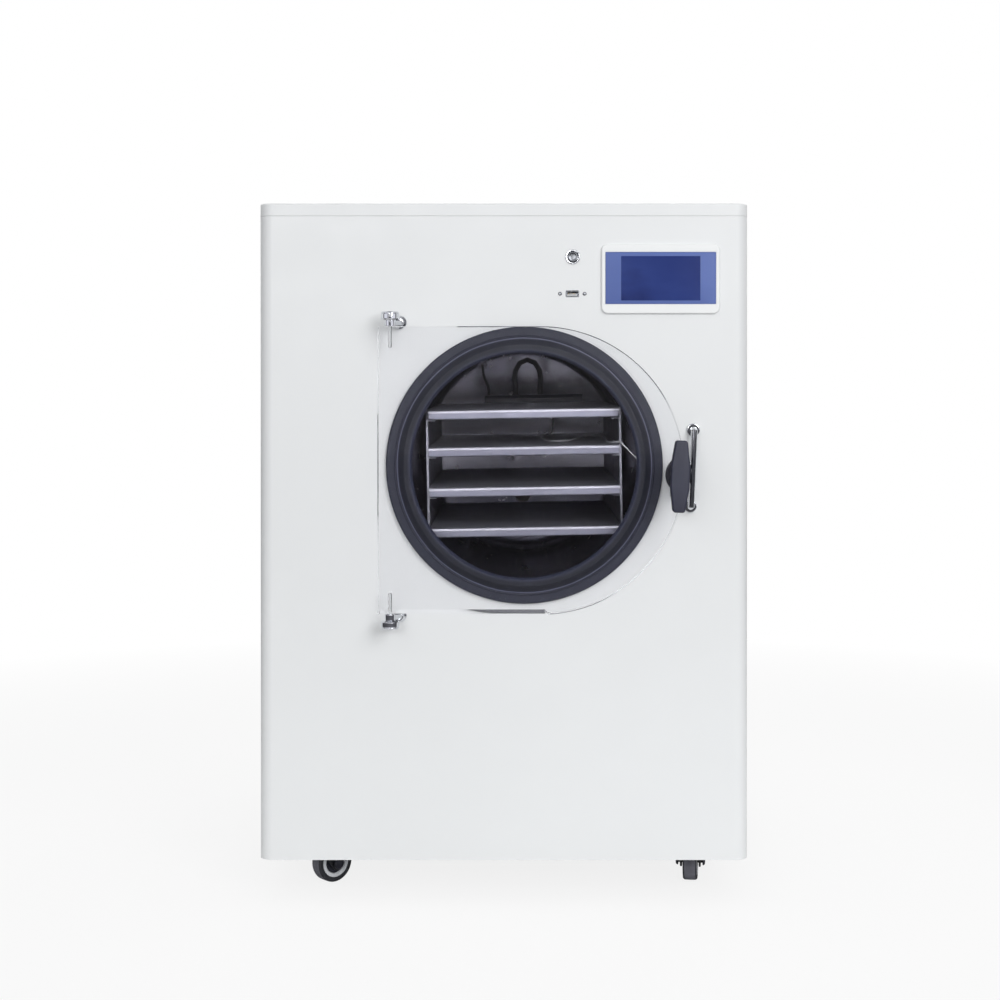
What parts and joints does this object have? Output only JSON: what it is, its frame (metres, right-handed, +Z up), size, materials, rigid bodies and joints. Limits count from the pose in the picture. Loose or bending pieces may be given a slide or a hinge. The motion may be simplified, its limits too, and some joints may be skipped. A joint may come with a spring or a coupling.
{
  "type": "freeze dryer",
  "caption": "Cabinet freeze dryer on casters: round clear door on turned hinges, black ring seal, heated shelves in a steel vacuum chamber, screen and button above.",
  "frame": {"origin": "on the floor, under the middle of the whole machine's box", "axes": "+Z up, -Y out of the front panel toward the user, +X to the right seen from the front"},
  "size_m": [0.597, 0.7706, 0.84],
  "materials": {
    "powder_coat": "fine satin powder coat",
    "galvanised": "plain zinc-plated sheet",
    "stainless": "polished stainless steel",
    "chrome": "bright chrome plating",
    "shelf_alloy": "satin rolled aluminium",
    "copper": "bare copper tube",
    "seal_rubber": "smooth moulded rubber",
    "foam": "closed-cell insulation foam",
    "dark_plastic": "satin moulded plastic",
    "white_plastic": "smooth white plastic",
    "screen_face": "glossy cover over a blue-lit display",
    "clear_acrylic": "polished clear acrylic",
    "cable_jacket": "black cable sheath",
    "black_paint": "black paint",
    "wheel_rubber": "solid rubber tread"
  },
  "bodies": {
    "cabinet": {"cabinet_shell": "powder_coat", "top_lid": "powder_coat", "rear_panel": "powder_coat", "base_pan": "galvanised", "cradle_front": "galvanised", "cradle_rear": "galvanised", "vacuum_chamber": "stainless", "evaporator_coil": "copper", "insulation_jacket": "foam", "door_seal": "seal_rubber", "rack_side_left": "stainless", "rack_side_right": "stainless", "shelf_1": "shelf_alloy", "shelf_2": "shelf_alloy", "shelf_3": "shelf_alloy", "shelf_4": "shelf_alloy", "terminal_bar": "dark_plastic", "heater_cable": "cable_jacket", "sensor_cable": "cable_jacket", "probe_lead": "galvanised", "probe_needle": "stainless", "hinge_post_upper": "chrome", "hinge_post_lower": "chrome", "hinge_pin_upper": "chrome", "hinge_pin_lower": "chrome", "latch_strike": "chrome", "screen_bezel": "white_plastic", "screen_glass": "screen_face", "button_ring": "chrome", "data_socket": "stainless", "control_box": "galvanised", "compressor": "black_paint", "condenser": "galvanised", "fan_shroud": "black_paint", "filter_drier": "copper", "discharge_line": "copper", "liquid_line": "copper", "suction_line": "copper", "vacuum_line": "stainless", "drain_valve": "chrome", "power_inlet": "dark_plastic", "caster_plate_front_left": "galvanised", "caster_plate_front_right": "galvanised", "caster_plate_rear_left": "galvanised", "caster_plate_rear_right": "galvanised"},
    "door": {"door_panel": "clear_acrylic", "latch_housing": "dark_plastic"},
    "latch": {"latch_handle": "dark_plastic", "latch_cam": "galvanised"},
    "power_button": {"power_button": "chrome"},
    "fan": {"fan_rotor": "black_paint"},
    "drain_lever": {"drain_lever": "dark_plastic"},
    "caster_fork_front_left": {"caster_fork_front_left": "black_paint"},
    "caster_wheel_front_left": {"caster_wheel_front_left": "wheel_rubber"},
    "caster_fork_front_right": {"caster_fork_front_right": "black_paint"},
    "caster_wheel_front_right": {"caster_wheel_front_right": "wheel_rubber"},
    "caster_fork_rear_left": {"caster_fork_rear_left": "black_paint"},
    "caster_wheel_rear_left": {"caster_wheel_rear_left": "wheel_rubber"},
    "caster_fork_rear_right": {"caster_fork_rear_right": "black_paint"},
    "caster_wheel_rear_right": {"caster_wheel_rear_right": "wheel_rubber"}
  },
  "joints": [
    {"name": "door_swing", "type": "hinge", "parent": "cabinet", "child": "door", "pos_m": [-0.135, -0.3347, 0.52], "axis": [0, 0, -1], "range_deg": [0, 160]},
    {"name": "latch_turn", "type": "hinge", "parent": "door", "child": "latch", "pos_m": [0.206, -0.35, 0.515], "axis": [0, -1, 0], "range_deg": [0, 90]},
    {"name": "button_press", "type": "slide", "parent": "cabinet", "child": "power_button", "axis": [0, 1, 0], "range_m": [0, 0.0015], "stiffness_N_per_m": 800, "springref_m": -0.001},
    {"name": "fan_spin", "type": "hinge", "parent": "cabinet", "child": "fan", "pos_m": [-0.14, 0.27, 0.205], "axis": [0, 1, 0], "continuous": true},
    {"name": "drain_lever_turn", "type": "hinge", "parent": "cabinet", "child": "drain_lever", "pos_m": [0.0247, 0.3673, 0.163], "axis": [0, 0, 1], "range_deg": [0, 90]},
    {"name": "caster_swivel_front_left", "type": "hinge", "parent": "cabinet", "child": "caster_fork_front_left", "pos_m": [-0.231, -0.2347, 0.054], "axis": [0, 0, 1], "continuous": true},
    {"name": "wheel_roll_front_left", "type": "hinge", "parent": "caster_fork_front_left", "child": "caster_wheel_front_left", "pos_m": [-0.21568, -0.22184, 0.025], "axis": [-0.6428, 0.766, 0], "continuous": true},
    {"name": "caster_swivel_front_right", "type": "hinge", "parent": "cabinet", "child": "caster_fork_front_right", "pos_m": [0.231, -0.2347, 0.054], "axis": [0, 0, 1], "continuous": true},
    {"name": "wheel_roll_front_right", "type": "hinge", "parent": "caster_fork_front_right", "child": "caster_wheel_front_right", "pos_m": [0.23378, -0.2149, 0.025], "axis": [-0.9903, 0.1392, 0], "continuous": true},
    {"name": "caster_swivel_rear_left", "type": "hinge", "parent": "cabinet", "child": "caster_fork_rear_left", "pos_m": [-0.231, 0.2853, 0.054], "axis": [0, 0, 1], "continuous": true},
    {"name": "wheel_roll_rear_left", "type": "hinge", "parent": "caster_fork_rear_left", "child": "caster_wheel_rear_left", "pos_m": [-0.23945, 0.30343, 0.025], "axis": [-0.9063, -0.4226, 0], "continuous": true},
    {"name": "caster_swivel_rear_right", "type": "hinge", "parent": "cabinet", "child": "caster_fork_rear_right", "pos_m": [0.231, 0.2853, 0.054], "axis": [0, 0, 1], "continuous": true},
    {"name": "wheel_roll_rear_right", "type": "hinge", "parent": "caster_fork_rear_right", "child": "caster_wheel_rear_right", "pos_m": [0.24039, 0.30296, 0.025], "axis": [-0.8829, 0.4695, 0], "continuous": true}
  ]
}
